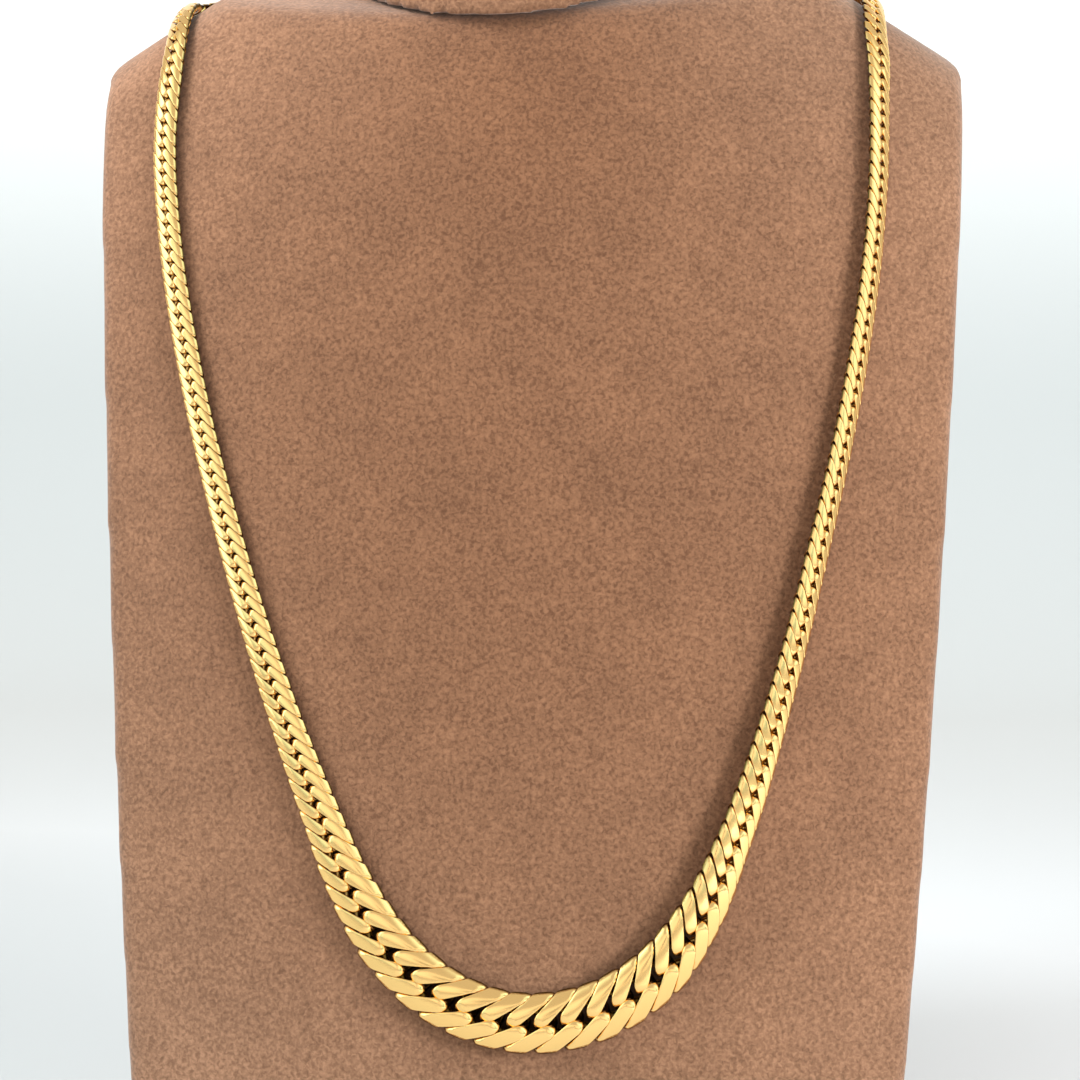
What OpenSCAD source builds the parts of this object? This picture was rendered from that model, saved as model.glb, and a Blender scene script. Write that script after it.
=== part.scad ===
// Graduated double curb chain necklace on a suede neck bust.
// Millimetres, +Z up, the front of the bust faces -Y, the origin is the middle of the base.

/* [Bust] */
// Width across the shoulder corners
shoulder_w = 137; // [135:1:139]
// Width at the foot
foot_w = 114; // [110:1:118]
// Height of the shoulder corners
shoulder_h = 174.8; // [174.5:0.1:175.5]
// How far the sides bow outward between foot and shoulder
side_bow = 1.3; // [0:0.1:3]
// Slope of the shoulders, in degrees
shoulder_slope = 30; // [29:0.5:31]
// Backward lean of the chest, in degrees
chest_lean = 4; // [3:0.5:5]
// Radius of the chest across its front, at the foot
chest_r = 187; // [180:1:195]
// Height where the chest starts to roll back
roll_h = 145; // [140:1:150]
// Radius of the roll at the top of the chest
roll_r = 122; // [115:1:130]
// Depth from the middle of the base to the front of the foot
front_depth = 36; // [34:1:38]
// Depth from the middle of the base to the back
back_depth = 38; // [38:0.5:44]
// Radius of the shoulders' front edge
edge_r = 16; // [14:0.5:16]

/* [Neck] */
// Radius of the neck at its root
neck_r = 28; // [27:0.5:28]
// Height of the neck's flat top
neck_h = 232; // [225:1:245]
// Height of the crease at the front of the neck
crease_h = 176.9; // [176:0.1:182]
// Rise of the crease toward the back, in degrees
crease_rise = 30.8; // [26:0.1:32]
// Width of the crease between neck and chest
crease_gap = 0.4; // [0.2:0.1:0.8]

/* [Chain] */
// Width of the chain at its middle
middle_w = 8.4; // [8:0.1:8.6]
// Width of the chain at its ends
end_w = 3.7; // [3.6:0.05:3.8]
// Thickness of the chain as a part of its width
flat_ratio = 0.417; // [0.41:0.002:0.42]
// Clearance between the chain and the bust
seat_gap = 0.3; // [0.2:0.05:0.4]

/* [Clasp] */
// Length of the clasp's box
clasp_l = 9.6; // [8:0.2:12]
// Width of the clasp
clasp_w = 5.6; // [5.4:0.1:6]
// Thickness of the clasp's box
clasp_t = 2.4; // [2:0.1:2.6]

/* [Hidden] */

suede = "#a87a5e";
gold = "#f0cf7d";

// The chest is a surface of revolution about an upright axis behind it.
axis_y = chest_r - front_depth;
roll_start_r = chest_r - roll_h * tan(chest_lean);
roll_centre_r = roll_start_r - roll_r * cos(chest_lean);
roll_centre_h = roll_h - roll_r * sin(chest_lean);
roll_steps = 12;
roll_end = 36;
// Half width of the flat shelf that the neck stands on.
shelf_half = 27;
slope_run = shoulder_w / 2 - shelf_half;
shelf_h = shoulder_h + slope_run * tan(shoulder_slope);
corner_r = 1.8;
side_steps = 8;
corner_steps = 6;
edge_steps = 10;
// The shoulder's edge runs a little back toward the corner.
edge_turn = 10;
edge_tilt = 26;
edge_y = 4.6;
// Directions of the edge: along it, back from it and up off the slope, then its round's centre.
edge_line = [cos(edge_turn) * cos(shoulder_slope), sin(edge_turn),
             -cos(edge_turn) * sin(shoulder_slope)];
edge_back = [-sin(edge_turn) * cos(shoulder_slope), cos(edge_turn),
             sin(edge_turn) * sin(shoulder_slope)];
edge_up = [sin(shoulder_slope), 0, cos(shoulder_slope)];
edge_centre = [shoulder_w / 2, 0, shoulder_h] + edge_y * edge_back - edge_r * edge_up;
neck_x = -4;
neck_y = 7;
crease_y = neck_y - neck_r;
crease_roll = -2;
reach = 300;

// Angle of the chest's surface from upright, at a height.
function roll_angle(z) = z <= roll_h ? chest_lean : asin((z - roll_centre_h) / roll_r);
function chest_radius(z) = z <= roll_h
    ? chest_r - z * tan(chest_lean)
    : roll_centre_r + sqrt(pow(roll_r, 2) - pow(z - roll_centre_h, 2));
function chest_y(x, z) = axis_y - sqrt(pow(chest_radius(z), 2) - x * x);

function side_x(t) = foot_w / 2 + (shoulder_w - foot_w) / 2 * t + side_bow * 4 * t * (1 - t);
corner_in = corner_r * tan((90 - shoulder_slope) / 2);
corner_c = [shoulder_w / 2 - corner_r, shoulder_h - corner_in];
half_outline = [
    for (i = [0 : side_steps]) [side_x(i / side_steps), corner_c.y * i / side_steps],
    for (i = [1 : corner_steps])
        let (a = (90 - shoulder_slope) * i / corner_steps)
        corner_c + corner_r * [cos(a), sin(a)],
    [shelf_half, shelf_h]
];
function mirrored(points) = [for (i = [len(points) - 1 : -1 : 0]) [-points[i].x, points[i].y]];

chest_profile = [
    [0, 0],
    [chest_r, 0],
    for (i = [0 : roll_steps])
        let (a = chest_lean + (roll_end - chest_lean) * i / roll_steps)
        [roll_centre_r + roll_r * cos(a), roll_centre_h + roll_r * sin(a)],
    [0, roll_centre_h + roll_r * sin(roll_end)]
];

// Section of a shoulder across its edge: across the depth, then up from the slope.
edge_section = [
    [reach / 2, -reach],
    [reach / 2, 0],
    for (i = [0 : edge_steps])
        let (a = 90 - (90 - edge_tilt) * i / edge_steps)
        [edge_y - edge_r * cos(a), edge_r * (sin(a) - 1)],
    [edge_y - edge_r * cos(edge_tilt) - reach * sin(edge_tilt),
     edge_r * (sin(edge_tilt) - 1) - reach * cos(edge_tilt)]
];

module front_outline() {
    translate([0, back_depth, 0])
        rotate([90, 0, 0])
            linear_extrude(height = reach / 2)
                polygon(concat(half_outline, mirrored(half_outline)));
}

module chest_front() {
    translate([0, axis_y, 0])
        rotate_extrude($fn = 180)
            polygon(chest_profile);
}

module right_shoulder() {
    translate([shoulder_w / 2, 0, shoulder_h])
        rotate([0, shoulder_slope, 0])
            rotate([0, 0, edge_turn])
                rotate([90, 0, 90])
                    linear_extrude(height = 2 * reach, center = true)
                        polygon(edge_section);
}

// Everything under the crease that parts the neck from the chest.
module under_crease(lift) {
    translate([neck_x, crease_y, crease_h + lift])
        rotate([crease_rise, crease_roll, 0])
            translate([-reach, -reach, -2 * reach])
                cube(2 * reach);
}

module bust_chest() {
    color(suede)
        intersection() {
            front_outline();
            chest_front();
            right_shoulder();
            mirror([1, 0, 0])
                right_shoulder();
            under_crease(0);
        }
}

// The neck's outline: height, how much narrower it is there than at its root.
neck_rows = [
    [170, 0],
    [186, 0],
    [200, 0.5],
    [212, 0.9],
    [222, 0.6],
    [neck_h - 3, 0],
    [neck_h - 0.9, 0.9],
    [neck_h, 3]
];
neck_profile = [
    [0, neck_rows[0][0]],
    for (n = neck_rows) [neck_r - n[1], n[0]],
    [0, neck_h]
];

module bust_neck() {
    color(suede)
        difference() {
            translate([neck_x, neck_y, 0])
                rotate_extrude($fn = 96)
                    polygon(neck_profile);
            intersection() {
                under_crease(crease_gap);
                translate([-reach / 2, -reach / 2, 0])
                    cube([reach, reach, shelf_h + crease_gap]);
            }
        }
}

// Graduation of the chain, from its middle to its ends:
// distance along it, pitch of the links, width as a part of the way from end to middle.
graduation = [
    [0, 3.88, 1],
    [14, 3.88, 1],
    [24, 3.7, 0.92],
    [33, 3.15, 0.7],
    [43, 2.65, 0.46],
    [58, 2.36, 0.26],
    [78, 2.2, 0.12],
    [105, 2.12, 0.03],
    [140, 2.05, 0],
    [164, 2.04, 0],
    [172, 2, 0],
    [300, 2, 0]
];
pitches = [for (g = graduation) [g[0], g[1]]];
fullness = [for (g = graduation) [g[0], g[2]]];
function pitch(d) = lookup(abs(d), pitches);
function width(d) = end_w + (middle_w - end_w) * lookup(abs(d), fullness);

// Front stretch of the chain, from the left shoulder down and up to the right one:
// place across, height, roll of the chain's face away from the chest, in degrees.
front_route = [
    [-55.4, 171, 0],
    [-55.7, 158, 0],
    [-54.5, 146, 0],
    [-50.1, 122.5, 0],
    [-43.9, 100, 0],
    [-36.5, 78, 0],
    [-28.2, 57.5, 0],
    [-23.5, 47.3, 0],
    [-17.3, 38, 0],
    [-9, 31.2, 0],
    [1.5, 28, 0],
    [12.2, 29.6, 2],
    [21.3, 35.4, 8],
    [27.6, 44.2, 16],
    [32, 54.2, 22],
    [38.8, 75.2, 26],
    [44.3, 97, 27],
    [49.1, 119.3, 27],
    [52.4, 142, 26],
    [53.3, 154, 24],
    [53.6, 167, 18],
    [53.7, 172, 8]
];
// Index of the lowest point of that stretch.
lowest = 10;

// Stretch from the top of a shoulder to the clasp at the back of the neck:
// share of the way out from the neck to the shoulder, depth, height above the bust,
// turn of the chain's face from the front, lean of the face upward.
back_route = [
    [0.97, 5, 1.5, 90, 60],
    [0.9, 10.5, 1.6, 97, 58],
    [0.78, 17.5, 2, 112, 50],
    [0.62, 24, 2.9, 135, 33],
    [0.47, 28.4, 2.9, 147, 18],
    [0.32, 31.8, 2.9, 154, 10],
    [0.16, 35, 3, 166, 4],
    [0, 36.5, 3.2, 180, 0]
];
// Places of the chain across the two shoulders.
left_x = -55.5;
right_x = 53.8;
// Steps of the chain's way over a shoulder's rounded edge, in degrees.
edge_from = 36;
edge_by = 13;
edge_to = 88;

function facing(turn, lean) = [sin(turn) * cos(lean), -cos(turn) * cos(lean), sin(lean)];
function distance_guess(i) = norm([front_route[i].x - front_route[lowest].x,
                                   front_route[i].y - front_route[lowest].y]);
// Length of the hanging curve beside the straight way to its lowest point.
curve_share = 1.04;
// Share of the chain's width that rises off the chest where the chain rolls.
lift_share = 0.42;
// A knot of the front stretch stands off the chest by half the chain and its roll.
function front_knot(i) =
    let (x = front_route[i].x, z = front_route[i].y, roll = front_route[i].z)
    let (w = width(curve_share * distance_guess(i)))
    let (turn = asin(x / chest_radius(z)), lean = roll_angle(z))
    let (off = seat_gap + w * (flat_ratio / 2 * cos(roll) + lift_share * sin(roll)))
    let (spot = [x, chest_y(x, z), z] + off * facing(turn, lean))
    concat(spot, facing(turn + roll, lean));
// A knot over a shoulder's edge lies off the edge's round by half the chain.
function edge_knot(x, a) =
    let (side = sign(x), r = edge_r + seat_gap + end_w * flat_ratio / 2)
    let (n = sin(a) * edge_up - cos(a) * edge_back)
    let (s = (abs(x) - edge_centre.x - r * n.x) / edge_line.x)
    let (spot = edge_centre + s * edge_line + r * n)
    [x, spot.y, spot.z, side * n.x, n.y, n.z];
function back_knot(x, r) =
    let (across = neck_x + r[0] * (x - neck_x))
    let (slope_z = shoulder_h + (shoulder_w / 2 - abs(across)) * tan(shoulder_slope))
    concat([across, r[1], min(shelf_h, slope_z) + r[2]], facing(sign(x) * r[3], r[4]));

last_row = len(back_route) - 1;
knots = concat(
    [for (i = [last_row : -1 : 0]) back_knot(left_x, back_route[i])],
    [for (a = [edge_to : -edge_by : edge_from]) edge_knot(left_x, a)],
    [for (i = [0 : len(front_route) - 1]) front_knot(i)],
    [for (a = [edge_from : edge_by : edge_to]) edge_knot(right_x, a)],
    [for (i = [0 : last_row]) back_knot(right_x, back_route[i])]
);
front_first = len(back_route) + len([for (a = [edge_from : edge_by : edge_to]) a]);
function place(k) = [k[0], k[1], k[2]];
function face(k) = [k[3], k[4], k[5]];
last = len(knots) - 1;
gaps = [for (i = [1 : last]) norm(place(knots[i]) - place(knots[i - 1]))];
// Distance of each knot along the chain, and the same counted from the lowest point.
function run(i) = i == 0 ? 0 : run(i - 1) + gaps[i - 1];
mid_run = run(front_first + lowest);
stations = [for (i = [0 : last]) run(i) - mid_run];
slopes = [for (i = [0 : last])
    i == 0 ? (knots[1] - knots[0]) / gaps[0]
    : i == last ? (knots[last] - knots[last - 1]) / gaps[last - 1]
    : let (before = gaps[i - 1], after = gaps[i])
      ((knots[i] - knots[i - 1]) / before * after
       + (knots[i + 1] - knots[i]) / after * before) / (before + after)];
function span_of(d, i = 0) = (i >= last - 1 || stations[i + 1] >= d) ? i : span_of(d, i + 1);
// Smooth curve through the knots, at a distance d from the lowest point.
function along(d) =
    let (i = span_of(d), h = gaps[i], t = (d - stations[i]) / h)
    (1 + 2 * t) * pow(1 - t, 2) * knots[i] + t * pow(1 - t, 2) * h * slopes[i]
    + t * t * (3 - 2 * t) * knots[i + 1] + t * t * (t - 1) * h * slopes[i + 1];
function unit(v) = v / norm(v);
ahead_step = 0.5;
// Local frame at d: the place, then the directions along, across toward the inside, and out.
function frame_at(d) =
    let (k = along(d), ahead = unit(place(along(d + ahead_step)) - place(along(d - ahead_step))))
    let (out = unit(face(k) - (face(k) * ahead) * ahead))
    [place(k), ahead, cross(out, ahead), out];
function put(f, p) = f[0] + p[0] * f[1] + p[1] * f[2] + p[2] * f[3];

// A link is a ring of wire twisted out of its plane, so that its left upper and right lower
// quarters lie in front and the other two behind, and then pressed flat on both faces.
link_sides = 10;
wire_sides = 5;
first_station = 135;
wire_w = 0.115;
wire_t = 0.072;
wire_pinch = 0.6;
twist_h = 0.21;
wire_turn = 36;
wire_sway = 18;
link_reach = 2.7;
function ring_spot(t, a, b, h) = [a * cos(t), b * sin(t), -h * sin(2 * t)];
function ring_dir(t, a, b, h) = unit([-a * sin(t), b * cos(t), -2 * h * cos(2 * t)]);
function pressed(p, lim) = [p[0], p[1], max(-lim, min(lim, p[2]))];
function wire_spot(t, q, w, a, b) =
    let (h = twist_h * w, dir = ring_dir(t, a, b, h))
    let (up = unit([0, 0, 1] - dir[2] * dir), side = cross(dir, up))
    let (turn = wire_turn - wire_sway * sin(2 * t) + 360 / wire_sides * q)
    let (half = wire_w * w * (1 - wire_pinch * (1 - abs(sin(2 * t)))))
    pressed(ring_spot(t, a, b, h) + half * cos(turn) * side + wire_t * w * sin(turn) * up,
            flat_ratio / 2 * w);
function link_points(d) =
    let (w = width(d), f = frame_at(d), thin = wire_w * w * (1 - wire_pinch))
    let (a = (link_reach * pitch(d) - 2 * thin) / 2, b = w / 2 - thin)
    [for (i = [0 : link_sides - 1], q = [0 : wire_sides - 1])
        put(f, wire_spot(first_station + 360 / link_sides * i, q, w, a, b))];
function link_faces(first) =
    [for (i = [0 : link_sides - 1], q = [0 : wire_sides - 1])
        let (j = (i + 1) % link_sides, r = (q + 1) % wire_sides)
        let (a = first + i * wire_sides + q, b = first + i * wire_sides + r)
        let (c = first + j * wire_sides + q, e = first + j * wire_sides + r)
        each [[a, b, c], [b, e, c]]];
link_size = link_sides * wire_sides;

// Distances of the links from the middle link, outward to one end of the front stretch.
function link_row(end) = [for (d = 0; d < end; d = d + pitch(d + pitch(d) / 2)) d];
front_left = 184;
front_right = 180;
left_links = [for (d = link_row(front_left)) if (d > 0) -d];
right_links = link_row(front_right);

module links(row) {
    polyhedron(
        points = [for (d = row) each link_points(d)],
        faces = [for (i = [0 : len(row) - 1]) each link_faces(i * link_size)],
        convexity = 10
    );
}

module chain_left() {
    color(gold)
        links(left_links);
}

module chain_right() {
    color(gold)
        links(right_links);
}

// The chain behind the shoulders and the neck, out of sight, as a flat eight-sided band.
band_sides = 8;
band_step = 6;
band_gap = 0.3;
band_grow = 1.05;
end_reach = link_reach * pitch(front_left) / 2 + band_gap;
left_start = left_links[len(left_links) - 1] - end_reach;
right_start = right_links[len(right_links) - 1] + end_reach;
bar_t = 0.7;
window_l = 2.7;
clasp_reach = clasp_l / 2 + window_l + bar_t;
left_stop = stations[0] + clasp_reach + band_gap;
right_stop = stations[last] - clasp_reach - band_gap;

function band_ring(d) =
    let (f = frame_at(d))
    [for (q = [0 : band_sides - 1])
        let (a = 360 / band_sides * (q + 0.5))
        put(f, end_w / 2 * band_grow * [0, cos(a), flat_ratio * sin(a)])];

module band(from, to) {
    steps = ceil((to - from) / band_step);
    rings = [for (i = [0 : steps]) from + (to - from) * i / steps];
    polyhedron(
        points = [for (d = rings) each band_ring(d)],
        faces = [
            [for (q = [0 : band_sides - 1]) q],
            for (i = [0 : steps - 1], q = [0 : band_sides - 1])
                let (r = (q + 1) % band_sides, a = i * band_sides)
                each [[a + q, a + band_sides + q, a + r],
                      [a + r, a + band_sides + q, a + band_sides + r]],
            [for (q = [band_sides - 1 : -1 : 0]) steps * band_sides + q]
        ],
        convexity = 10
    );
}

module chain_back_left() {
    color(gold)
        band(left_stop, left_start);
}

module chain_back_right() {
    color(gold)
        band(right_start, right_stop);
}

// The clasp is a plain box with a barred window at each end that the last link holds.
module clasp() {
    color(gold)
        translate(place(knots[0])) {
            cube([clasp_l, clasp_t, clasp_w], center = true);
            difference() {
                cube([2 * clasp_reach, bar_t, clasp_w], center = true);
                for (side = [-1, 1])
                    translate([side * (clasp_l / 2 + window_l / 2), 0, 0])
                        cube([window_l, 2 * bar_t, clasp_w - 2 * bar_t], center = true);
            }
        }
}

bust_chest();
bust_neck();
chain_left();
chain_right();
chain_back_left();
chain_back_right();
clasp();
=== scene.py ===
import math

import bmesh
import bpy
import numpy as np
from mathutils import Matrix, Vector
from mathutils.kdtree import KDTree


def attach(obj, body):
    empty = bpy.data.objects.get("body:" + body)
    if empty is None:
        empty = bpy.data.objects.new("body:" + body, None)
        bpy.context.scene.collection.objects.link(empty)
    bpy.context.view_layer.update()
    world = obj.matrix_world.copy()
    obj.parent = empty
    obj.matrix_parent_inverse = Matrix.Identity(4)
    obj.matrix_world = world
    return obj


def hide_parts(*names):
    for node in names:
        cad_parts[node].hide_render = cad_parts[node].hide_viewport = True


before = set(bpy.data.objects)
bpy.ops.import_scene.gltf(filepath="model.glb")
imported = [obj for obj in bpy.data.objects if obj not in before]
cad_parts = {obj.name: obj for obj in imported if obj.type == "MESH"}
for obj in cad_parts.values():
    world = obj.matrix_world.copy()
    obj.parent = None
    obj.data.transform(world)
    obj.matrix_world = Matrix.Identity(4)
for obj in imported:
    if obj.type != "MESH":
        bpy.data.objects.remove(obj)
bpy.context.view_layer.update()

MM = 0.001
TAU = 2 * math.pi


def sin(a):
    return math.sin(math.radians(a))


def cos(a):
    return math.cos(math.radians(a))


def tan(a):
    return math.tan(math.radians(a))


# Sizes of the bust that the chain's way round it follows, in millimetres and degrees.
SHOULDER_W = 137.0
SHOULDER_H = 174.8
SLOPE = 30.0
CHEST_LEAN = 4.0
CHEST_R = 187.0
ROLL_H = 145.0
ROLL_R = 122.0
FRONT_DEPTH = 36.0
EDGE_R = 16.0
EDGE_TURN = 10.0
EDGE_Y = 4.6
SHELF_HALF = 27.0
NECK_X = -4.0
AXIS_Y = CHEST_R - FRONT_DEPTH
ROLL_CENTRE_R = CHEST_R - ROLL_H * tan(CHEST_LEAN) - ROLL_R * cos(CHEST_LEAN)
ROLL_CENTRE_H = ROLL_H - ROLL_R * sin(CHEST_LEAN)
SHELF_H = SHOULDER_H + (SHOULDER_W / 2 - SHELF_HALF) * tan(SLOPE)

# Sizes of the chain.
MIDDLE_W = 8.4
END_W = 3.7
FLAT_RATIO = 0.417
SEAT_GAP = 0.3
CLASP_L = 9.6
WINDOW_L = 2.7
BAR_T = 0.7

# Graduation of the chain: distance from its middle, pitch of the links, fullness of its width.
GRADUATION = [
    (0, 3.88, 1),
    (14, 3.88, 1),
    (24, 3.7, 0.92),
    (33, 3.15, 0.7),
    (43, 2.65, 0.46),
    (58, 2.36, 0.26),
    (78, 2.2, 0.12),
    (105, 2.12, 0.03),
    (140, 2.05, 0),
    (164, 2.04, 0),
    (172, 2, 0),
    (300, 2, 0),
]
# Front stretch: place across, height, roll of the chain's face away from the chest.
FRONT_ROUTE = [
    (-55.4, 171, 0),
    (-55.7, 158, 0),
    (-54.5, 146, 0),
    (-50.1, 122.5, 0),
    (-43.9, 100, 0),
    (-36.5, 78, 0),
    (-28.2, 57.5, 0),
    (-23.5, 47.3, 0),
    (-17.3, 38, 0),
    (-9, 31.2, 0),
    (1.5, 28, 0),
    (12.2, 29.6, 2),
    (21.3, 35.4, 8),
    (27.6, 44.2, 16),
    (32, 54.2, 22),
    (38.8, 75.2, 26),
    (44.3, 97, 27),
    (49.1, 119.3, 27),
    (52.4, 142, 26),
    (53.3, 154, 24),
    (53.6, 167, 18),
    (53.7, 172, 8),
]
LOWEST = 10
# Stretch from a shoulder to the clasp: share of the way out from the neck, depth,
# height above the bust, turn of the chain's face from the front, lean of the face upward.
BACK_ROUTE = [
    (0.97, 5, 1.5, 90, 60),
    (0.9, 10.5, 1.6, 97, 58),
    (0.78, 17.5, 2, 112, 50),
    (0.62, 24, 2.9, 135, 33),
    (0.47, 28.4, 2.9, 147, 18),
    (0.32, 31.8, 2.9, 154, 10),
    (0.16, 35, 3, 166, 4),
    (0, 36.5, 3.2, 180, 0),
]
# Places across where the chain crosses the shoulders, and the steps over their edge in degrees.
LEFT_X = -55.5
RIGHT_X = 53.8
EDGE_STEPS = (36, 49, 62, 75, 88)
# Length of the hanging curve beside the straight way to its lowest point.
CURVE_SHARE = 1.04
# Share of the chain's width that rises off the chest where the chain rolls.
LIFT_SHARE = 0.42


def unit(v):
    return v / np.linalg.norm(v)


def pitch(d):
    return np.interp(abs(d), [g[0] for g in GRADUATION], [g[1] for g in GRADUATION])


def width(d):
    full = np.interp(abs(d), [g[0] for g in GRADUATION], [g[2] for g in GRADUATION])
    return END_W + (MIDDLE_W - END_W) * full


def facing(turn, lean):
    return np.array([sin(turn) * cos(lean), -cos(turn) * cos(lean), sin(lean)])


def chest_radius(z):
    if z <= ROLL_H:
        return CHEST_R - z * tan(CHEST_LEAN)
    return ROLL_CENTRE_R + math.sqrt(ROLL_R**2 - (z - ROLL_CENTRE_H) ** 2)


def front_knot(row):
    x, z, roll = row
    low_x, low_z, _ = FRONT_ROUTE[LOWEST]
    w = width(CURVE_SHARE * math.hypot(x - low_x, z - low_z))
    turn = math.degrees(math.asin(x / chest_radius(z)))
    lean = CHEST_LEAN if z <= ROLL_H else math.degrees(math.asin((z - ROLL_CENTRE_H) / ROLL_R))
    off = SEAT_GAP + w * (FLAT_RATIO / 2 * cos(roll) + LIFT_SHARE * sin(roll))
    on_chest = np.array([x, AXIS_Y - math.sqrt(chest_radius(z) ** 2 - x * x), z])
    return np.concatenate([on_chest + off * facing(turn, lean), facing(turn + roll, lean)])


def edge_knot(x, a):
    """A knot over a shoulder's rounded front edge, off the round by half the chain."""
    line = np.array([cos(EDGE_TURN) * cos(SLOPE), sin(EDGE_TURN), -cos(EDGE_TURN) * sin(SLOPE)])
    back = np.array([-sin(EDGE_TURN) * cos(SLOPE), cos(EDGE_TURN), sin(EDGE_TURN) * sin(SLOPE)])
    up = np.array([sin(SLOPE), 0, cos(SLOPE)])
    centre = np.array([SHOULDER_W / 2, 0, SHOULDER_H]) + EDGE_Y * back - EDGE_R * up
    r = EDGE_R + SEAT_GAP + END_W * FLAT_RATIO / 2
    n = sin(a) * up - cos(a) * back
    s = (abs(x) - centre[0] - r * n[0]) / line[0]
    spot = centre + s * line + r * n
    side = math.copysign(1, x)
    return np.array([x, spot[1], spot[2], side * n[0], n[1], n[2]])


def back_knot(x, row):
    share, depth, lift, turn, lean = row
    across = NECK_X + share * (x - NECK_X)
    slope_z = SHOULDER_H + (SHOULDER_W / 2 - abs(across)) * tan(SLOPE)
    spot = [across, depth, min(SHELF_H, slope_z) + lift]
    return np.concatenate([spot, facing(math.copysign(turn, x), lean)])


def make_knots():
    knots = [back_knot(LEFT_X, row) for row in reversed(BACK_ROUTE)]
    knots += [edge_knot(LEFT_X, a) for a in reversed(EDGE_STEPS)]
    first = len(knots)
    knots += [front_knot(row) for row in FRONT_ROUTE]
    knots += [edge_knot(RIGHT_X, a) for a in EDGE_STEPS]
    knots += [back_knot(RIGHT_X, row) for row in BACK_ROUTE]
    return np.array(knots), first + LOWEST


KNOTS, MIDDLE_KNOT = make_knots()
GAPS = np.linalg.norm(np.diff(KNOTS[:, :3], axis=0), axis=1)
STATIONS = np.concatenate([[0], np.cumsum(GAPS)])
STATIONS = STATIONS - STATIONS[MIDDLE_KNOT]


def knot_slopes():
    rise = np.diff(KNOTS, axis=0) / GAPS[:, None]
    before, after = GAPS[:-1, None], GAPS[1:, None]
    inner = (rise[:-1] * after + rise[1:] * before) / (before + after)
    return np.vstack([rise[:1], inner, rise[-1:]])


SLOPES = knot_slopes()


def along(d):
    """Smooth curve through the knots at a distance from the lowest point, in millimetres."""
    i = int(np.clip(np.searchsorted(STATIONS, d) - 1, 0, len(GAPS) - 1))
    h = GAPS[i]
    t = (d - STATIONS[i]) / h
    return (
        (1 + 2 * t) * (1 - t) ** 2 * KNOTS[i]
        + t * (1 - t) ** 2 * h * SLOPES[i]
        + t * t * (3 - 2 * t) * KNOTS[i + 1]
        + t * t * (t - 1) * h * SLOPES[i + 1]
    )


def frame_at(d, step=0.5):
    """Place, and the directions along, across toward the inside, and out."""
    k = along(d)
    ahead = unit(along(d + step)[:3] - along(d - step)[:3])
    out = unit(k[3:] - (k[3:] @ ahead) * ahead)
    return k[:3], ahead, np.cross(out, ahead), out


# Form of one link, as parts of its width, apart from shares, powers and the steps of its mesh.
# A pair holds the value of the finest link and of the widest one.
WIRE_W = (0.145, 0.14)
WIRE_T = 0.1
TIP_SHARE = (0.65, 0.52)
EDGE_SHARE = 0.8
RING_OVER = 1.05
SIDE_SOFT = 0.03
THIN_SHARE = 0.5
CORNER_SHARE = 0.11
TWIST_H = 0.17
TWIST_HOLD = 1.0
EDGE_HOLD = math.radians(20)
LINK_REACH = 2.9
FACE_AT = 0.205
FACE_OVAL = 2.4
OVAL_LEAST = 0.02
FACE_CROWN = 0.009
FACE_SOFT = 0.03
SECTION_POWER = 2.6
LINK_SIDES = 56
WIRE_SIDES = 20
# Largest turn of a link out of line, in degrees.
LINK_TURN = 1.4
BACK_TAPER = 0.07
# Line along the middle of a leaf, in pitches: where it crosses the chain's middle and its edge.
LEAF_MIDDLE = 1.443
LEAF_EDGE = -0.206
LEAF_GAP = 0.036
TRIM_FROM = 0.02
TRIM_OVER = 0.06
# Width that a link is drawn beyond the CAD's, in millimetres, as the gold in the photo is wider.
PRESSED_OUT = 0.4
# Painted shade in the hollows between the strands and low on the links' walls: the depth over which
# it sets in, the height under which the walls have it, and its share on the finest links.
DEEP_AT = 0.1
WALL_AT = 0.15
DEEP_LEAST = 0.15
# Step round the ring that gives its direction.
NUDGE = 1e-4
rng = np.random.default_rng(7)


def pressed(z, limit, soft):
    """Presses a distance flat at a limit on both sides, with a small round where it starts."""
    over = np.abs(z) - limit
    eased = np.where(over < -soft, over, np.where(over > soft, 0, -((soft - over) ** 2) / (4 * soft)))
    return np.sign(z) * (limit + eased)


def twist(t):
    return np.sin(2 * t + 2 * EDGE_HOLD * np.sin(t) ** 2)


def ring(t, a, b, h):
    """Middle line of a link: a rounded diamond in plan, twisted so that it lies on both faces."""
    x = a * (np.cos(t) + CORNER_SHARE * np.cos(3 * t)) / (1 + CORNER_SHARE)
    y = b * (np.sin(t) - CORNER_SHARE * np.sin(3 * t)) / (1 + CORNER_SHARE)
    u = twist(t)
    return np.stack([x, y, -h * u * (1 + TWIST_HOLD) / (1 + TWIST_HOLD * u * u)], -1)


def trimmed(p, t, w, step):
    """Cuts the faces along the straight lines between one leaf and the next."""
    face = np.where(twist(t) < 0, 1, -1)
    row = -face * np.where(np.sin(t) < 0, -1, 1)
    rise = np.clip((np.abs(p[:, 2]) - TRIM_FROM * w) / (TRIM_OVER * w), 0, 1)
    middle = step * (LEAF_MIDDLE + (LEAF_EDGE - LEAF_MIDDLE) * np.abs(2 * p[:, 1] / w))
    off = row * p[:, 0] - middle
    half = step * (1 - LEAF_GAP) / 2
    return p[:, 0] + row * rise * (np.clip(off, -half, half) - off)


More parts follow.
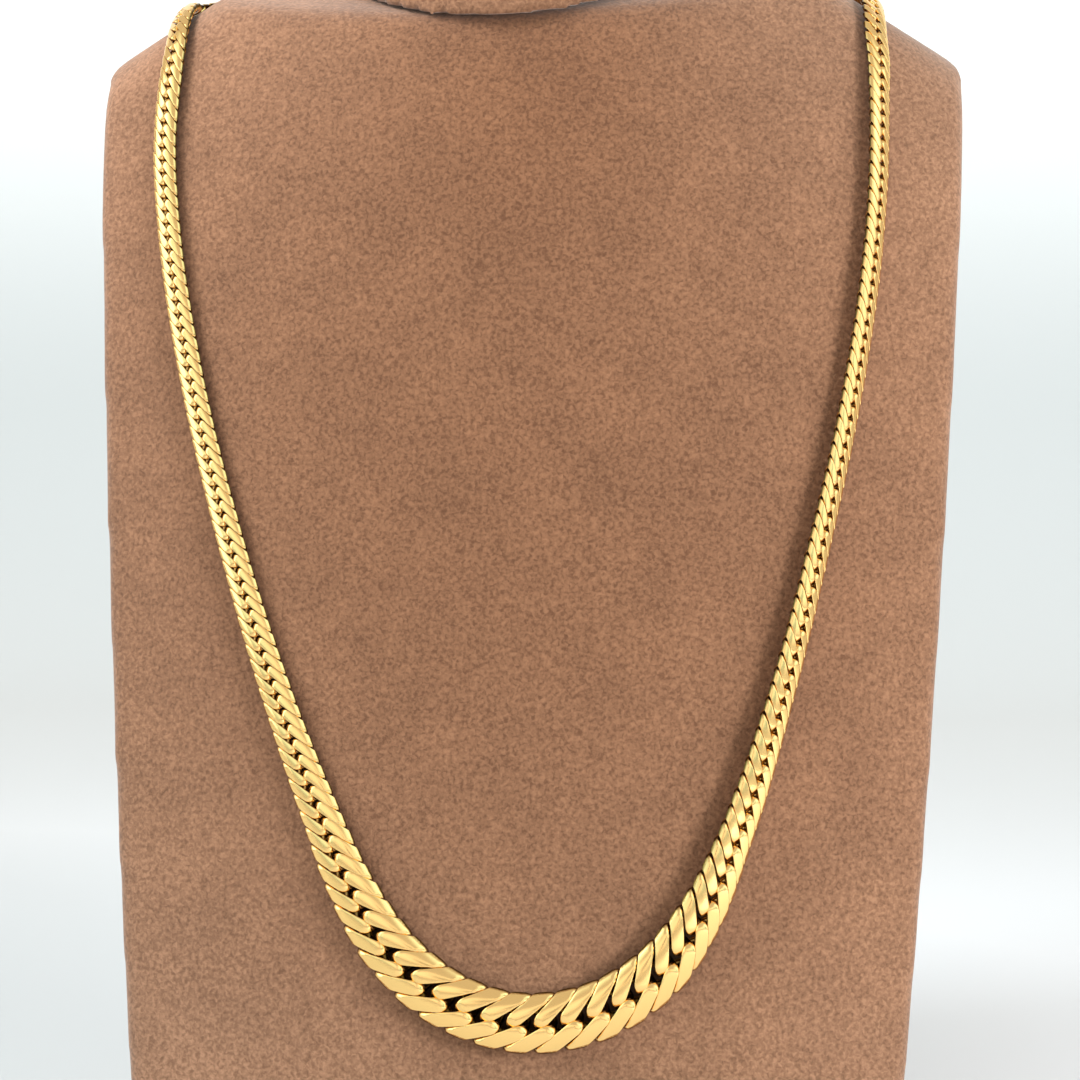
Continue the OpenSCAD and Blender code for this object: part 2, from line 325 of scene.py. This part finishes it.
def link_points(d):
    """Points of the link at a distance along the chain, and how much painted shade each carries."""
    full = (width(d) - END_W) / (MIDDLE_W - END_W)
    w = width(d) + PRESSED_OUT
    wire, tip = [low + (high - low) * full for low, high in (WIRE_W, TIP_SHARE)]
    a = LINK_REACH * pitch(d) / 2 - wire * w * tip
    b = (w / 2 - wire * w * EDGE_SHARE) * RING_OVER
    h = TWIST_H * w
    t = TAU * np.arange(LINK_SIDES) / LINK_SIDES
    mid = ring(t, a, b, h)
    ahead = ring(t + NUDGE, a, b, h) - ring(t - NUDGE, a, b, h)
    ahead /= np.linalg.norm(ahead, axis=1)[:, None]
    side = np.stack([ahead[:, 1], -ahead[:, 0], 0 * t], -1)
    side /= np.linalg.norm(side, axis=1)[:, None]
    up = np.cross(side, ahead)
    swell = np.abs(np.sin(2 * t))
    low = EDGE_SHARE + (tip - EDGE_SHARE) * np.cos(t) ** 2
    half = wire * w * (low + (1 - low) * swell)
    thick = WIRE_T * w * (THIN_SHARE + (1 - THIN_SHARE) * swell)
    q = TAU * (np.arange(WIRE_SIDES) + 0.5) / WIRE_SIDES
    flat_x = np.sign(np.cos(q)) * np.abs(np.cos(q)) ** (2 / SECTION_POWER)
    flat_y = np.sign(np.sin(q)) * np.abs(np.sin(q)) ** (2 / SECTION_POWER)
    p = (
        mid[:, None]
        + (half[:, None] * flat_x)[:, :, None] * side[:, None]
        + (thick[:, None] * flat_y)[:, :, None] * up[:, None]
    ).reshape(-1, 3)
    crown = np.tile(FACE_CROWN * flat_x**2, LINK_SIDES)
    p[:, 1] = pressed(p[:, 1], w / 2, SIDE_SOFT * w)
    oval = np.clip(1 - np.abs(2 * p[:, 1] / w) ** FACE_OVAL, OVAL_LEAST, 1) ** (1 / FACE_OVAL)
    limit = w * (FACE_AT * oval - crown)
    p[:, 2] = pressed(p[:, 2], limit, FACE_SOFT * w)
    rise = np.abs(p[:, 2])
    # Painted shade: full deep in the hollows between the strands, and low on the walls of the links.
    inner = np.clip((limit - rise) / (DEEP_AT * w), 0, 1) * (1 - (2 * p[:, 1] / w) ** 4)
    inner *= DEEP_LEAST + (1 - DEEP_LEAST) * full
    painted_shade = np.maximum(inner, np.clip((WALL_AT * w - rise) / (DEEP_AT * w), 0, 1))
    p[:, 0] = trimmed(p, np.repeat(t, WIRE_SIDES), w, pitch(d))
    p[:, 1] *= 1 - BACK_TAPER * np.clip(-p[:, 2] / (FACE_AT * w), 0, 1)
    turn, nod = np.radians(rng.uniform(-LINK_TURN, LINK_TURN, 2))
    p = p @ np.array(Matrix.Rotation(turn, 3, "X") @ Matrix.Rotation(nod, 3, "Y")).T
    place, along_x, across, out = frame_at(d)
    return place + p[:, :1] * along_x + p[:, 1:2] * across + p[:, 2:] * out, painted_shade


def link_faces(first):
    """Squares round the closed ring of wire, from its first point on."""
    i, q = np.meshgrid(np.arange(LINK_SIDES), np.arange(WIRE_SIDES), indexing="ij")
    j, r = (i + 1) % LINK_SIDES, (q + 1) % WIRE_SIDES
    corners = [i * WIRE_SIDES + q, i * WIRE_SIDES + r, j * WIRE_SIDES + r, j * WIRE_SIDES + q]
    return first + np.stack(corners, -1).reshape(-1, 4)


def new_mesh(name, points, faces):
    mesh = bpy.data.meshes.new(name)
    mesh.from_pydata(points.tolist(), [], faces.tolist())
    mesh.polygons.foreach_set("use_smooth", [True] * len(mesh.polygons))
    mesh.update()
    obj = bpy.data.objects.new(name, mesh)
    bpy.context.scene.collection.objects.link(obj)
    return obj


def link_row(end, sign):
    """Distances of the links from the middle one, outward to a limit."""
    row, d = [], 0.0
    while d < end:
        row.append(sign * d)
        d += pitch(d + pitch(d) / 2)
    return row


def links(name, row):
    made = [link_points(d) for d in row]
    points = np.concatenate([points for points, _ in made]) * MM
    size = LINK_SIDES * WIRE_SIDES
    faces = np.concatenate([link_faces(i * size) for i in range(len(row))])
    piece = new_mesh(name, points, faces)
    painted_shade = piece.data.attributes.new("painted_shade", "FLOAT", "POINT")
    painted_shade.data.foreach_set("value", np.concatenate([painted_shade for _, painted_shade in made]).astype(np.float32))
    return piece


# Distances where the front stretch ends, and from the clasp's bar to the middle of its end link.
FRONT_LEFT = 184
FRONT_RIGHT = 180
CLASP_HOLD = 1.05


def fitted(row, start, end):
    """Spreads the links beyond a start evenly, so that the last one holds the clasp."""
    share = (end - start) / (abs(row[-1]) - start)
    return [d if abs(d) < start else math.copysign(start + (abs(d) - start) * share, d) for d in row]


def chain_pieces(material):
    bar_at = CLASP_L / 2 + WINDOW_L + BAR_T / 2
    left_end = -STATIONS[0] - bar_at - CLASP_HOLD
    right_end = STATIONS[-1] - bar_at - CLASP_HOLD
    left = fitted(link_row(left_end, -1), FRONT_LEFT, left_end)
    right = fitted(link_row(right_end, 1), FRONT_RIGHT, right_end)
    rows = {
        "chain_left": [d for d in left if 0 < -d < FRONT_LEFT],
        "chain_right": [d for d in right if d < FRONT_RIGHT],
        "chain_back_left": [d for d in left if -d >= FRONT_LEFT],
        "chain_back_right": [d for d in right if d >= FRONT_RIGHT],
    }
    for node, row in rows.items():
        piece = links(node.replace("chain", "links"), row)
        piece.data.materials.append(material)
        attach(piece, "root")
        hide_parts(node)


CLASP_W = 5.6
CLASP_T = 2.4
CLASP_EDGE = 0.18
EDGE_SEGMENTS = 3
# Angles in radians: faces turned less are one, and edges turned more are softened.
FLAT_ANGLE = 0.01
SHARP_ANGLE = 0.5


def clasp_cells():
    """Cuts of the clasp along, through and across, and which of the cells between are metal."""
    half_l = CLASP_L / 2
    window = half_l + WINDOW_L
    reach = window + BAR_T
    bar_in = CLASP_W / 2 - BAR_T
    x = [-reach, -window, -half_l, half_l, window, reach]
    y = [-CLASP_T / 2, -BAR_T / 2, BAR_T / 2, CLASP_T / 2]
    z = [-CLASP_W / 2, -bar_in, bar_in, CLASP_W / 2]
    metal = np.zeros((5, 3, 3), bool)
    metal[2] = True
    metal[:, 1] = True
    metal[1, 1, 1] = False
    metal[3, 1, 1] = False
    return (x, y, z), metal


def clasp_mesh():
    """Outer faces of the metal cells, as one closed body with softened edges."""
    cuts, metal = clasp_cells()
    centre = KNOTS[0][:3]
    mesh = bmesh.new()
    corners = {}

    def corner(key):
        if key not in corners:
            corners[key] = mesh.verts.new([m + cut[k] for m, cut, k in zip(centre, cuts, key)])
        return corners[key]

    for cell in zip(*np.nonzero(metal)):
        for axis in range(3):
            for side in (0, 1):
                beside = list(cell)
                beside[axis] += 2 * side - 1
                if 0 <= beside[axis] < metal.shape[axis] and metal[tuple(beside)]:
                    continue
                square = [[a, b] for a, b in ((0, 0), (1, 0), (1, 1), (0, 1))]
                keys = []
                for pair in square[:: 2 * side - 1]:
                    offset = pair[:]
                    offset.insert(axis, side)
                    keys.append(tuple(int(c) + o for c, o in zip(cell, offset)))
                mesh.faces.new([corner(key) for key in keys])
    bmesh.ops.recalc_face_normals(mesh, faces=mesh.faces[:])
    bmesh.ops.dissolve_limit(mesh, angle_limit=FLAT_ANGLE, verts=mesh.verts[:], edges=mesh.edges[:])
    sharp = [e for e in mesh.edges if e.calc_face_angle(0) > SHARP_ANGLE]
    bmesh.ops.bevel(mesh, geom=sharp, offset=CLASP_EDGE, segments=EDGE_SEGMENTS, affect="EDGES")
    bmesh.ops.scale(mesh, vec=(MM, MM, MM), verts=mesh.verts[:])
    data = bpy.data.meshes.new("clasp_body")
    mesh.to_mesh(data)
    mesh.free()
    return data


def clasp_piece(material):
    """The plain clasp: a box between two barred windows that hold the end links."""
    data = clasp_mesh()
    data.materials.append(material)
    piece = bpy.data.objects.new("clasp_body", data)
    bpy.context.scene.collection.objects.link(piece)
    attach(piece, "root")
    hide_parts("clasp")


def nodes_of(name):
    material = bpy.data.materials.new(name)
    material.use_nodes = True
    tree = material.node_tree
    return material, tree, tree.nodes["Principled BSDF"]


GOLD_COLOUR = (0.98, 0.62, 0.225)
# Colour of the painted shade in the gold's hollows and on its walls, and the share from which it sets
# in.
PAINTED_SHADE_COLOUR = (0.11, 0.06, 0.012)
PAINTED_SHADE_FROM = 0.45
GOLD_ROUGHNESS = 0.16


def gold_material():
    """Polished gold, darkened by painted shade between the strands and low on the links' walls."""
    material, tree, shader = nodes_of("polished_gold")
    painted_shade = tree.nodes.new("ShaderNodeAttribute")
    painted_shade.attribute_name = "painted_shade"
    ramp = tree.nodes.new("ShaderNodeMapRange")
    ramp.interpolation_type = "SMOOTHSTEP"
    ramp.inputs["From Min"].default_value = PAINTED_SHADE_FROM
    ramp.inputs["From Max"].default_value = 1
    tree.links.new(painted_shade.outputs["Fac"], ramp.inputs["Value"])
    mix = tree.nodes.new("ShaderNodeMix")
    mix.data_type = "RGBA"
    mix.inputs["A"].default_value = (*GOLD_COLOUR, 1)
    mix.inputs["B"].default_value = (*PAINTED_SHADE_COLOUR, 1)
    tree.links.new(ramp.outputs["Result"], mix.inputs["Factor"])
    tree.links.new(mix.outputs["Result"], shader.inputs["Base Color"])
    shader.inputs["Metallic"].default_value = 1
    shader.inputs["Roughness"].default_value = GOLD_ROUGHNESS
    return material


SUEDE_DARK = (0.184, 0.0785, 0.0375)
SUEDE_LIGHT = (0.211, 0.0905, 0.0433)
# Noises of the nap, each with its scale, detail, roughness and distortion.
GRAIN = (1700, 2, 0.5, 0.5)
CLOUDS = (95, 3, 0.5, 0.4)
# Each blend has its lowest and highest value, and the tones that it gives them.
GRAIN_BLEND = (0.3, 0.7, (0.66, 0.63, 0.61), (1.34, 1.38, 1.41))
CLOUDS_BLEND = (0.35, 0.65, SUEDE_DARK, SUEDE_LIGHT)
# Painted shade under the chain: no change where there is none, a fifth of the colour where it is
# full.
CHAIN_SHADE_BLEND = (0, 1, (1, 1, 1), (0.2, 0.2, 0.2))
# Painted light and shade: the lighter tones also turn whiter, as a painted sheen.
PAINTED_TONE_BLEND = (0.88, 1.05, (0.88, 0.87, 0.86), (1.05, 1.11, 1.18))
# Single values of the suede's shader, and the height of its nap in metres.
SUEDE_FINISH = {
    "Roughness": 0.95,
    "Specular IOR Level": 0.15,
    "Sheen Weight": 0.3,
    "Sheen Roughness": 0.45,
    "Sheen Tint": (1, 0.9, 0.8, 1),
}
NAP_HEIGHT = 0.12 * MM
NAP_STRENGTH = 0.7
# Painted light and shade on the suede, lighter and whiter toward its edges and top and darker in its
# middle: its tone by height, by height and width squared.
PAINTED_TONE_LEAST = 0.88
PAINTED_TONE_HALF_W = 0.06
PAINTED_TONE_HALF_H = 0.09
PAINTED_TONE_RISE = -0.12
PAINTED_TONE_HIGH = 0.3
PAINTED_TONE_WIDE = 0.16
PAINTED_TONE_CORNER = 0.08
# Painted shadow of the neck, darker just below it: by how much, where, and how far around.
NECK_SHADE = 0.22
NECK_SHADE_X = 0.004
NECK_SHADE_H = 0.176
NECK_SHADE_W = 0.03
# Painted shade under the chain: it reaches out to this many half widths of the chain, and eases over
# as many.
CHAIN_SHADE_REACH = 1.1
CHAIN_SHADE_FADE = 0.3
CHAIN_SHADE_STEP = 0.5
# Grid of each cover in millimetres, and how often it is smoothed.
CHEST_VOXEL = 1.2
CHEST_ROUNDS = 24
NECK_VOXEL = 0.9
NECK_ROUNDS = 4
SMOOTH_FACTOR = 0.5


def suede_material():
    """Brushed cloth: a fine curly grain in soft clouds of tone, with painted shade under the chain
    and painted light and shade by place.
    """
    material, tree, shader = nodes_of("suede")
    coord = tree.nodes.new("ShaderNodeTexCoord").outputs["Object"]

    def noise(scale, detail, rough, distortion):
        node = tree.nodes.new("ShaderNodeTexNoise")
        tree.links.new(coord, node.inputs["Vector"])
        node.inputs["Scale"].default_value = scale
        node.inputs["Detail"].default_value = detail
        node.inputs["Roughness"].default_value = rough
        node.inputs["Distortion"].default_value = distortion
        return node.outputs["Fac"]

    def blend(low, high, dark, light):
        ramp = tree.nodes.new("ShaderNodeMapRange")
        ramp.clamp = False
        ramp.inputs["From Min"].default_value = low
        ramp.inputs["From Max"].default_value = high
        mix = tree.nodes.new("ShaderNodeMix")
        mix.data_type = "RGBA"
        tree.links.new(ramp.outputs["Result"], mix.inputs["Factor"])
        mix.inputs["A"].default_value = (*dark, 1)
        mix.inputs["B"].default_value = (*light, 1)
        return ramp.inputs["Value"], mix.outputs["Result"]

    def times(a, b):
        mix = tree.nodes.new("ShaderNodeMix")
        mix.data_type = "RGBA"
        mix.blend_type = "MULTIPLY"
        mix.inputs["Factor"].default_value = 1
        tree.links.new(a, mix.inputs["A"])
        tree.links.new(b, mix.inputs["B"])
        return mix.outputs["Result"]

    # Painted shade under the chain, kept in the attribute named pressed.
    chain_shade = tree.nodes.new("ShaderNodeAttribute")
    chain_shade.attribute_name = "pressed"
    # Painted light and shade by place: lighter and whiter toward the edges and top, darker in the
    # middle.
    painted_light_and_shade = tree.nodes.new("ShaderNodeAttribute")
    painted_light_and_shade.attribute_name = "painted_light_and_shade"
    shade_in, shade_tone = blend(*CHAIN_SHADE_BLEND)
    painted_tone_in, painted_tone = blend(*PAINTED_TONE_BLEND)
    painted_tone.node.clamp_factor = False
    tree.links.new(chain_shade.outputs["Fac"], shade_in)
    tree.links.new(painted_light_and_shade.outputs["Fac"], painted_tone_in)
    grain = noise(*GRAIN)
    clouds = noise(*CLOUDS)
    grain_in, grain_tone = blend(*GRAIN_BLEND)
    clouds_in, clouds_tone = blend(*CLOUDS_BLEND)
    tree.links.new(grain, grain_in)
    tree.links.new(clouds, clouds_in)
    tone = times(times(clouds_tone, grain_tone), times(shade_tone, painted_tone))
    tree.links.new(tone, shader.inputs["Base Color"])
    bump = tree.nodes.new("ShaderNodeBump")
    bump.inputs["Strength"].default_value = NAP_STRENGTH
    bump.inputs["Distance"].default_value = NAP_HEIGHT
    tree.links.new(grain, bump.inputs["Height"])
    tree.links.new(bump.outputs["Normal"], shader.inputs["Normal"])
    for socket, setting in SUEDE_FINISH.items():
        shader.inputs[socket].default_value = setting
    return material


def shade_under_chain(mesh):
    """Painted shade under the chain, as a share: 1 under the chain, 0 from just beyond its edges."""
    stations = np.arange(-FRONT_LEFT, FRONT_RIGHT, CHAIN_SHADE_STEP)
    tree = KDTree(len(stations))
    for i, d in enumerate(stations):
        tree.insert(along(d)[:3] * MM, i)
    tree.balance()
    found = [tree.find(v.co) for v in mesh.vertices]
    half = np.array([width(stations[i]) / 2 for _, i, _ in found])
    away = np.array([distance for _, _, distance in found]) / MM
    # The painted shade under the chain is kept in the attribute named pressed.
    chain_shade = mesh.attributes.new("pressed", "FLOAT", "POINT")
    value = np.clip((CHAIN_SHADE_REACH - away / half) / CHAIN_SHADE_FADE, 0, 1)
    chain_shade.data.foreach_set("value", value.astype(np.float32))


def paint_light_and_shade(mesh, shade):
    """Painted light and shade on the suede by place, as a share of its colour."""
    place = np.array([v.co for v in mesh.vertices])
    x = place[:, 0] / PAINTED_TONE_HALF_W
    h = place[:, 2] / PAINTED_TONE_HALF_H - 1
    tone = 1 + PAINTED_TONE_RISE * h + PAINTED_TONE_HIGH * h * h + PAINTED_TONE_WIDE * x * x + PAINTED_TONE_CORNER * x * h
    # Painted shadow of the neck on the chest, just below it.
    near = ((place[:, 0] - NECK_SHADE_X) / NECK_SHADE_W) ** 2
    near += ((place[:, 2] - NECK_SHADE_H) / NECK_SHADE_W) ** 2
    tone *= 1 - shade * np.exp(-near)
    painted_light_and_shade = mesh.attributes.new("painted_light_and_shade", "FLOAT", "POINT")
    painted_light_and_shade.data.foreach_set("value", (PAINTED_TONE_LEAST * tone).astype(np.float32))


def cover(name, node, material, voxel, rounds):
    """A copy of a CAD solid with its edges rounded like a cover of cloth."""
    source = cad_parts[node]
    obj = bpy.data.objects.new(name, source.data.copy())
    bpy.context.scene.collection.objects.link(obj)
    remesh = obj.modifiers.new("even", "REMESH")
    remesh.mode = "VOXEL"
    remesh.voxel_size = voxel * MM
    smooth = obj.modifiers.new("round", "SMOOTH")
    smooth.factor = SMOOTH_FACTOR
    smooth.iterations = rounds
    deps = bpy.context.evaluated_depsgraph_get()
    mesh = bpy.data.meshes.new_from_object(obj.evaluated_get(deps))
    obj.modifiers.clear()
    obj.data = mesh
    mesh.materials.clear()
    mesh.materials.append(material)
    mesh.polygons.foreach_set("use_smooth", [True] * len(mesh.polygons))
    shade_under_chain(mesh)
    paint_light_and_shade(mesh, NECK_SHADE if node == "bust_chest" else 0)
    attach(obj, "root")
    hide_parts(node)


# Camera: its place in metres, its turns in degrees, and its focal length in pixels of the photo.
CAMERA_PLACE = (0.022, -0.352, 0.098)
CAMERA_YAW = -3.26
CAMERA_ROLL = 0.54
FOCAL_PX = 2187
FRAME_PX = 1080
SENSOR_MM = 36
CLIP_START = 0.01


def add_camera():
    """A level camera, turned a little aside, as fitted to the photo."""
    right = Vector((cos(CAMERA_YAW), -sin(CAMERA_YAW), 0))
    up = Vector((0, 0, 1))
    ahead = Vector((sin(CAMERA_YAW), cos(CAMERA_YAW), 0))
    x = right * cos(CAMERA_ROLL) + up * sin(CAMERA_ROLL)
    y = up * cos(CAMERA_ROLL) - right * sin(CAMERA_ROLL)
    data = bpy.data.cameras.new("camera")
    data.sensor_width = SENSOR_MM
    data.lens = FOCAL_PX / FRAME_PX * data.sensor_width
    data.clip_start = CLIP_START
    cam = bpy.data.objects.new("camera", data)
    rows = [(x[i], y[i], -ahead[i], CAMERA_PLACE[i]) for i in range(3)]
    cam.matrix_world = Matrix((*rows, (0, 0, 0, 1)))
    bpy.context.scene.collection.objects.link(cam)
    bpy.context.scene.camera = cam


def add_light(name, place, aim, size, radiance, tint=(1, 1, 1), mirrored=True):
    """A soft box of a given brightness as the metal sees it, or would see it if not mirrored."""
    data = bpy.data.lights.new(name, "AREA")
    data.shape = "RECTANGLE"
    data.size, data.size_y = size
    data.energy = radiance * math.pi * size[0] * size[1]
    data.color = tint
    lamp = bpy.data.objects.new(name, data)
    lamp.visible_glossy = mirrored
    lamp.location = place
    lamp.rotation_euler = (Vector(aim) - Vector(place)).to_track_quat("-Z", "Y").to_euler()
    bpy.context.scene.collection.objects.link(lamp)


# Floor in metres: half its size, the radius and place of its curve, its top and the curve's steps.
SWEEP_HALF = 2.5
SWEEP_R = 0.5
SWEEP_BACK = 0.9
SWEEP_TOP = 2.2
SWEEP_STEPS = 25
FLOOR_ROUGHNESS = 0.7
# The floor's colour is painted darker around the place where a small light falls on it, to even out
# that light's pool.
FLOOR_LIT = (-0.24, -0.05, 0)
FLOOR_NEAR = 0.16
FLOOR_FAR = 0.42
FLOOR_DARK = (0.48, 0.47, 0.44)
FLOOR_PALE = (0.805, 0.76, 0.73)
# Painted light: it glows toward its top, though it is no lamp: from this height, up to this one, and
# how much.
GLOW_FROM = 0.18
GLOW_TO = 0.62
GLOW = 0.5


def add_sweep():
    """A pale floor that curves up behind the bust, painted darker around a light's pool and glowing
    toward its top.
    """
    turn = np.radians(np.linspace(0, 90, SWEEP_STEPS))
    y = np.concatenate([[-SWEEP_HALF], SWEEP_BACK + SWEEP_R * np.sin(turn), [SWEEP_BACK + SWEEP_R]])
    z = np.concatenate([[0], SWEEP_R * (1 - np.cos(turn)), [SWEEP_TOP]])
    points = [(x, y[i], z[i]) for i in range(len(y)) for x in (-SWEEP_HALF, SWEEP_HALF)]
    faces = [(2 * i, 2 * i + 1, 2 * i + 3, 2 * i + 2) for i in range(len(y) - 1)]
    floor = new_mesh("floor", np.array(points), np.array(faces))
    material, tree, shader = nodes_of("pale_floor")
    shader.inputs["Roughness"].default_value = FLOOR_ROUGHNESS
    coord = tree.nodes.new("ShaderNodeTexCoord").outputs["Object"]
    reach = tree.nodes.new("ShaderNodeVectorMath")
    reach.operation = "DISTANCE"
    reach.inputs[1].default_value = FLOOR_LIT
    tree.links.new(coord, reach.inputs[0])
    away = tree.nodes.new("ShaderNodeMapRange")
    away.inputs["From Min"].default_value = FLOOR_NEAR
    away.inputs["From Max"].default_value = FLOOR_FAR
    tree.links.new(reach.outputs["Value"], away.inputs["Value"])
    tone = tree.nodes.new("ShaderNodeMix")
    tone.data_type = "RGBA"
    tone.inputs["A"].default_value = (*FLOOR_DARK, 1)
    tone.inputs["B"].default_value = (*FLOOR_PALE, 1)
    tree.links.new(away.outputs["Result"], tone.inputs["Factor"])
    tree.links.new(tone.outputs["Result"], shader.inputs["Base Color"])
    split = tree.nodes.new("ShaderNodeSeparateXYZ")
    tree.links.new(coord, split.inputs[0])
    glow = tree.nodes.new("ShaderNodeMapRange")
    glow.interpolation_type = "SMOOTHSTEP"
    glow.inputs["From Min"].default_value = GLOW_FROM
    glow.inputs["From Max"].default_value = GLOW_TO
    glow.inputs["To Max"].default_value = GLOW
    tree.links.new(split.outputs["Z"], glow.inputs["Value"])
    tree.links.new(glow.outputs["Result"], shader.inputs["Emission Strength"])
    shader.inputs["Emission Color"].default_value = (1, 1, 1, 1)
    floor.data.materials.append(material)


# Brightness of the tent, and what each part of it adds or takes away.
TENT = 0.72
BAND = 0.66
HIGH = 0.8
DIM = 0.9
# Directions of each part: where it begins and where it is full, as shares of a unit vector.
FRONT_AT = (0.55, 0.85)
BAND_BOTTOM = (0.02, 0.09)
BAND_TOP = (0.26, 0.4)
AHEAD_AT = (0.1, 0.45)
ASIDE_AT = (0.24, 0.52)
HIGH_AT = (0.2, 0.5)
SIDE_TINT = (0.78, 1.08, 1.16)
# The dim patch: its direction, its radius in degrees, and where its soft edge lies in radii.
DIM_TOWARD = (0.07, -0.98, 0.17)
DIM_R = 4.5
DIM_OUTER = 1.3
DIM_INNER = 0.7


def add_world():
    """A light tent: a bright band low in front, bright cool sides, and a dim patch at the camera."""
    world = bpy.data.worlds.new("studio")
    world.use_nodes = True
    tree = world.node_tree

    def value(a):
        if isinstance(a, (int, float)):
            node = tree.nodes.new("ShaderNodeValue")
            node.outputs[0].default_value = a
            return node.outputs[0]
        return a

    def calc(kind, a, b):
        node = tree.nodes.new("ShaderNodeMath")
        node.operation = kind
        tree.links.new(value(a), node.inputs[0])
        tree.links.new(value(b), node.inputs[1])
        return node.outputs[0]

    def step(a, low, high, to=1.0):
        node = tree.nodes.new("ShaderNodeMapRange")
        node.interpolation_type = "SMOOTHSTEP"
        tree.links.new(a, node.inputs["Value"])
        node.inputs["From Min"].default_value = low
        node.inputs["From Max"].default_value = high
        node.inputs["To Max"].default_value = to
        return node.outputs["Result"]

    coord = tree.nodes.new("ShaderNodeTexCoord").outputs["Generated"]
    split = tree.nodes.new("ShaderNodeSeparateXYZ")
    tree.links.new(coord, split.inputs[0])
    x, y, z = split.outputs
    front = step(calc("MULTIPLY", y, -1), *FRONT_AT)
    band = calc("SUBTRACT", step(z, *BAND_BOTTOM), step(z, *BAND_TOP))
    light = calc("ADD", TENT, calc("MULTIPLY", calc("MULTIPLY", front, band), BAND))
    ahead = step(calc("MULTIPLY", y, -1), *AHEAD_AT)
    aside = calc("MULTIPLY", step(calc("ABSOLUTE", x, 0), *ASIDE_AT), ahead)
    light = calc("ADD", light, calc("MULTIPLY", aside, step(z, *HIGH_AT, HIGH)))
    toward = tree.nodes.new("ShaderNodeVectorMath")
    toward.operation = "DOT_PRODUCT"
    tree.links.new(coord, toward.inputs[0])
    toward.inputs[1].default_value = Vector(DIM_TOWARD).normalized()
    dim = step(toward.outputs["Value"], cos(DIM_R * DIM_OUTER), cos(DIM_R * DIM_INNER), DIM)
    light = calc("SUBTRACT", light, dim)
    tree.links.new(light, tree.nodes["Background"].inputs["Strength"])
    cool = tree.nodes.new("ShaderNodeMix")
    cool.data_type = "RGBA"
    cool.inputs["A"].default_value = (1, 1, 1, 1)
    cool.inputs["B"].default_value = (*SIDE_TINT, 1)
    tree.links.new(aside, cool.inputs["Factor"])
    tree.links.new(cool.outputs["Result"], tree.nodes["Background"].inputs["Color"])
    bpy.context.scene.world = world


# Soft boxes that the metal mirrors: place in metres and radiance.
BOXES = [
    ("left_box", (-0.42, -0.2, 0.26), 1.85),
    ("right_box", (0.45, -0.18, 0.26), 0.9),
]
BOX_AIM = (0, 0, 0.14)
BOX_SIZE = (0.25, 0.44)
BOX_TINT = (0.86, 1.02, 1.1)
# Small lights that light the suede and that the metal doesn't mirror: place and radiance.
SPOTS = [
    ("left_spot", (-0.22, -0.1, 0.34), 27),
    ("right_spot", (0.33, -0.12, 0.12), 3),
    ("right_front_spot", (0.32, -0.3, 0.14), 32),
]
# Place that a small light aims at, on the light's own side.
SPOT_AIM = (0.03, 0.01, 0.13)
SPOT_SIZE = (0.12, 0.12)
SPOT_TINT = (1, 1.13, 1.29)


def add_studio():
    """The floor, the world and every light."""
    add_sweep()
    add_world()
    bpy.context.scene.view_settings.view_transform = "Standard"
    for name, place, radiance in BOXES:
        add_light(name, place, BOX_AIM, BOX_SIZE, radiance, BOX_TINT)
    for name, place, radiance in SPOTS:
        aim = (math.copysign(SPOT_AIM[0], place[0]), *SPOT_AIM[1:])
        add_light(name, place, aim, SPOT_SIZE, radiance, SPOT_TINT, False)


add_camera()
add_studio()
suede = suede_material()
cover("chest_cover", "bust_chest", suede, CHEST_VOXEL, CHEST_ROUNDS)
cover("neck_cover", "bust_neck", suede, NECK_VOXEL, NECK_ROUNDS)
gold = gold_material()
chain_pieces(gold)
clasp_piece(gold)
